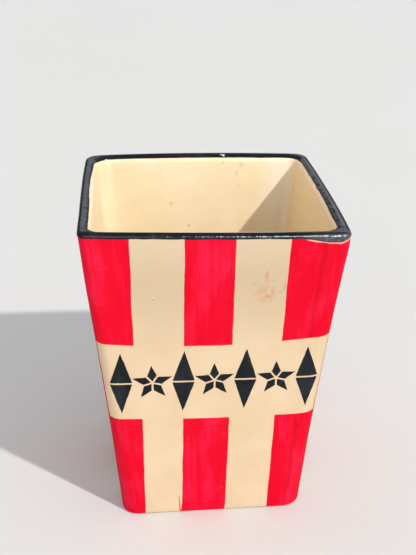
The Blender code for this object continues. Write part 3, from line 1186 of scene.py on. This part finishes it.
def stencil_tree():
    """Geometry Nodes: repeats two motifs along a band and lays them on the wall behind as paint."""
    graph, inputs, result = new_tree(
        "Stencilled Row", "GeometryNodeTree",
        [("Wall", GEOMETRY, None), ("First Motif", OBJECT, None), ("Second Motif", OBJECT, None),
         ("Count", INTEGER, 7), ("Spacing", FLOAT, 0.018), ("Middle", FLOAT, 0.1), ("Film", FLOAT, 0.00006),
         ("Ragged Edge", FLOAT, 0.0002), ("Seed", INTEGER, 4), ("Paint", MATERIAL, None)],
        [("Geometry", GEOMETRY)])
    length_all = (inputs["Count"] - 1.0) * inputs["Spacing"]
    start = graph.combine(length_all * -0.5, ROW_START, inputs["Middle"])
    step = graph.combine(inputs["Spacing"], 0.0, 0.0)
    line = graph.add(
        "GeometryNodeMeshLine", {"Count": inputs["Count"], "Start Location": start, "Offset": step},
        mode="OFFSET", count_mode="TOTAL")

    motifs = graph.node("GeometryNodeGeometryToInstance")
    for name in ("Second Motif", "First Motif"):
        motif = graph.add(
            "GeometryNodeObjectInfo", {"Object": inputs[name], "As Instance": False}, "Geometry")
        graph.feed(motifs.inputs["Geometry"], motif)
    every_other = graph.math("MODULO", graph.add("GeometryNodeInputIndex"), 2.0)

    def random(low, high, offset):
        seed = inputs["Seed"] + float(offset)
        return graph.add(
            "FunctionNodeRandomValue", {"Seed": seed, 2: low, 3: high}, 1, data_type="FLOAT")

    tilt = graph.combine(0.0, random(-0.035, 0.035, 0), 0.0)
    size = random(0.97, 1.03, 1)
    row = graph.add(
        "GeometryNodeInstanceOnPoints",
        {"Points": line, "Instance": Signal(graph, motifs.outputs["Instances"]), "Pick Instance": True,
         "Instance Index": every_other, "Rotation": tilt, "Scale": graph.combine(size, size, size)})
    real = graph.add("GeometryNodeRealizeInstances", {"Geometry": row})
    fine = graph.add("GeometryNodeSubdivideMesh", {"Mesh": real, "Level": 5})

    # The paint crept a little under the stencil's edges
    creep = graph.add(
        "ShaderNodeTexNoise",
        {"Vector": graph.add("GeometryNodeInputPosition"), "Scale": 260.0, "Detail": 2.0}, "Color",
        noise_dimensions="3D")
    shift = graph.vector("SUBTRACT", creep, (0.5, 0.5, 0.5))
    shift = graph.vector("MULTIPLY", graph.scaled(shift, inputs["Ragged Edge"] * 3.0), (1.0, 0.0, 1.0))
    crept = graph.add("GeometryNodeSetPosition", {"Geometry": fine, "Offset": shift})

    wall = graph.add(
        "GeometryNodeRaycast",
        {"Target Geometry": inputs["Wall"], "Ray Direction": (0.0, 1.0, 0.0), "Ray Length": 1.0},
        "Hit Position")
    on_wall = graph.vector("SUBTRACT", wall, graph.combine(0.0, inputs["Film"], 0.0))
    laid = graph.add("GeometryNodeSetPosition", {"Geometry": crept, "Position": on_wall})
    into_wall = graph.combine(0.0, inputs["Film"] + PAINT_SUNK, 0.0)
    backed = graph.add(
        "GeometryNodeExtrudeMesh",
        {"Mesh": laid, "Offset": into_wall, "Offset Scale": 1.0, "Individual": False}, mode="FACES")
    both = graph.node("GeometryNodeJoinGeometry")
    for part in (backed, graph.add("GeometryNodeFlipFaces", {"Mesh": laid})):
        graph.feed(both.inputs["Geometry"], part)
    shape = graph.add(
        "GeometryNodeMergeByDistance", {"Geometry": Signal(graph, both.outputs[0]), "Distance": PAINT_SEAM})
    shape = graph.add("GeometryNodeRealizeInstances", {"Geometry": shape})
    shape = graph.add("GeometryNodeSetMaterial", {"Geometry": shape, "Material": inputs["Paint"]})
    graph.feed(result["Geometry"], shape)
    return graph.tree


class MESH_OT_pottery_stencil(bpy.types.Operator):
    """Stencil the row of lozenges and stars on the front band"""

    bl_idname = "mesh.pottery_stencil"
    bl_label = "Stencilled row"

    def execute(self, context):
        sizes = context.scene.pottery_stencil
        wall = linked("stencil_wall", bpy.data.objects["pot"].data.copy())
        count = 2 * sizes.lozenges - 1
        motifs = [lozenge_motif(), star_motif()]
        paint = black_glaze("stencil_glaze", shader_groups(), 0.2, 1.2 * MM, 0.1 * MM)
        piece = grown(wall, stencil_tree(), {
            "First Motif": motifs[0], "Second Motif": motifs[1], "Count": count,
            "Spacing": sizes.row_width / (count - 1), "Middle": sizes.middle, "Film": sizes.film,
            "Paint": paint}, "stencilled_row")
        for motif in motifs:
            bpy.data.objects.remove(motif)
        return {"FINISHED"}


def look_from(place, yaw, pitch, roll):
    """The matrix of a camera at place that is turned, tilted and leaned."""
    ahead = Vector((math.sin(yaw) * math.cos(pitch), math.cos(yaw) * math.cos(pitch), math.sin(pitch)))
    level_right = Vector((math.cos(yaw), -math.sin(yaw), 0.0))
    level_up = level_right.cross(ahead)
    right = level_right * math.cos(roll) + level_up * math.sin(roll)
    up = level_up * math.cos(roll) - level_right * math.sin(roll)
    turn = Matrix((right, up, -ahead)).transposed()
    return Matrix.Translation(place) @ turn.to_4x4()


def lamp(name, kind, ahead, place=(0.0, 0.0, 0.0), **settings):
    """A light of that kind at place, shining ahead."""
    data = bpy.data.lights.new(name, kind)
    for key, value in settings.items():
        setattr(data, key, value)
    light = linked(name, data)
    light.location = place
    light.rotation_euler = ahead.to_track_quat("-Z", "Y").to_euler()


def surroundings(strength):
    """A soft, even studio; a glossy glaze also mirrors a dim room with one tall window."""
    world = bpy.data.worlds.new("studio")
    world.use_nodes = True
    graph = Graph(world.node_tree)
    background = world.node_tree.nodes["Background"]
    towards = graph.add("ShaderNodeTexCoord")
    x, y, z = graph.separate(towards)
    level = graph.ramp(z, 0.2, 0.36) * graph.fall(z, 0.45, 0.75)
    behind = graph.ramp(y, 0.1, 0.6) * level
    over_left = graph.fall(x, 0.02, 0.14) * graph.ramp(z, 0.365, 0.4)
    far_left = graph.fall(x, -0.3, -0.16)
    shade = 1.0 - graph.most(over_left, far_left)
    behind = behind * shade
    room = 0.08 + behind * 0.9
    to_window = Vector((0.44, -0.87, 0.2)).normalized()
    aligned = graph.vector("DOT_PRODUCT", towards, to_window)
    window = graph.ramp(aligned, 0.935, 0.957, 0.0, 19.0)
    mirrored = graph.scaled((0.86, 0.93, 1.0), room + window)
    even = [v * strength for v in (0.95, 0.97, 1.0)]
    glossy = graph.add("ShaderNodeLightPath", output="Is Glossy Ray")
    graph.feed(background.inputs["Color"], graph.blend(glossy, opaque(even), mirrored))
    background.inputs["Strength"].default_value = 1.0
    return world


def pale_floor():
    """A broad matt floor under the bucket, painted dark where the glaze reflects it."""
    reach = 6.0
    mesh = bpy.data.meshes.new("floor")
    corners = [(-reach, -reach, 0.0), (reach, -reach, 0.0), (reach, reach, 0.0), (-reach, reach, 0.0)]
    mesh.from_pydata(corners, [], [(0, 1, 2, 3)])
    material, graph, shader = new_material("floor_paint")
    tone = Vector(bpy.context.scene.pottery_studio.floor_colour)
    cloud = graph.noise(position(graph), 3.0, 2.0, 0.5, 1.0)
    pale = graph.blend(graph.ramp(cloud, 0.3, 0.7), opaque(tone * 0.985), opaque(tone))
    # Painted dark reflection: glossy rays see the floor at 15 percent of its colour.
    glossy = graph.add("ShaderNodeLightPath", output="Is Glossy Ray")
    graph.feed(shader.inputs["Base Color"], graph.blend(glossy, pale, opaque(tone * 0.15)))
    shader.inputs["Roughness"].default_value = 0.75
    mesh.materials.append(material)
    linked("floor", mesh)


class SCENE_OT_pottery_studio(bpy.types.Operator):
    """Set up the floor, the soft light and the camera"""

    bl_idname = "scene.pottery_studio"
    bl_label = "Studio"

    def execute(self, context):
        scene = context.scene
        studio = scene.pottery_studio
        pale_floor()
        middle = (FRAME_LOW + FRAME_HIGH) / 2
        lamp("key_light", "SUN", -Vector(studio.towards_key), energy=studio.key_strength,
             color=(1.0, 0.975, 0.94), angle=math.radians(2.0))
        aside = Vector((-0.5, -1.7, 0.1))
        lamp("low_fill", "AREA", -aside, middle + aside, energy=7.0, color=(1.0, 0.99, 0.97),
             shape="SQUARE", size=1.0)
        scene.world = surroundings(studio.world_strength)
        scene.view_settings.view_transform = "Standard"
        data = bpy.data.cameras.new("camera")
        data.sensor_fit = "AUTO"
        data.sensor_width = 36.0
        data.lens = studio.lens
        data.clip_start = 0.01
        data.clip_end = 50.0
        scene.camera = linked("camera", data)
        scene.camera.matrix_world = look_from(studio.camera_place, studio.yaw, studio.pitch, studio.roll)
        return {"FINISHED"}


class VIEW3D_PT_pottery(bpy.types.Panel):
    """Builds the bucket and shows its sizes"""

    bl_label = "Pottery Bucket"
    bl_idname = "VIEW3D_PT_pottery"
    bl_space_type = "VIEW_3D"
    bl_region_type = "UI"
    bl_category = "Pottery"

    def draw(self, context):
        for operator in OPERATORS:
            self.layout.operator(operator.bl_idname)
        for name, group in SETTINGS.items():
            box = self.layout.box()
            box.label(text=group.__doc__)
            for prop in group.__annotations__:
                box.prop(getattr(context.scene, name), prop)


OPERATORS = (
    SCENE_OT_pottery_studio,
    MESH_OT_pottery_pot,
    MESH_OT_pottery_rim,
    MESH_OT_pottery_stencil,
)


def register():
    """Add the settings, the operators and the panel."""
    for name, group in SETTINGS.items():
        bpy.utils.register_class(group)
        setattr(bpy.types.Scene, name, bpy.props.PointerProperty(type=group))
    for cls in (*OPERATORS, VIEW3D_PT_pottery):
        bpy.utils.register_class(cls)


def unregister():
    """Take everything off again, last first."""
    for cls in reversed((*OPERATORS, VIEW3D_PT_pottery)):
        bpy.utils.unregister_class(cls)
    for name, group in reversed(SETTINGS.items()):
        delattr(bpy.types.Scene, name)
        bpy.utils.unregister_class(group)


def main():
    """Build the bucket and its studio."""
    register()
    bpy.ops.scene.pottery_studio()
    bpy.ops.mesh.pottery_pot()
    bpy.ops.mesh.pottery_rim()
    bpy.ops.mesh.pottery_stencil()


if __name__ == "__main__":
    main()
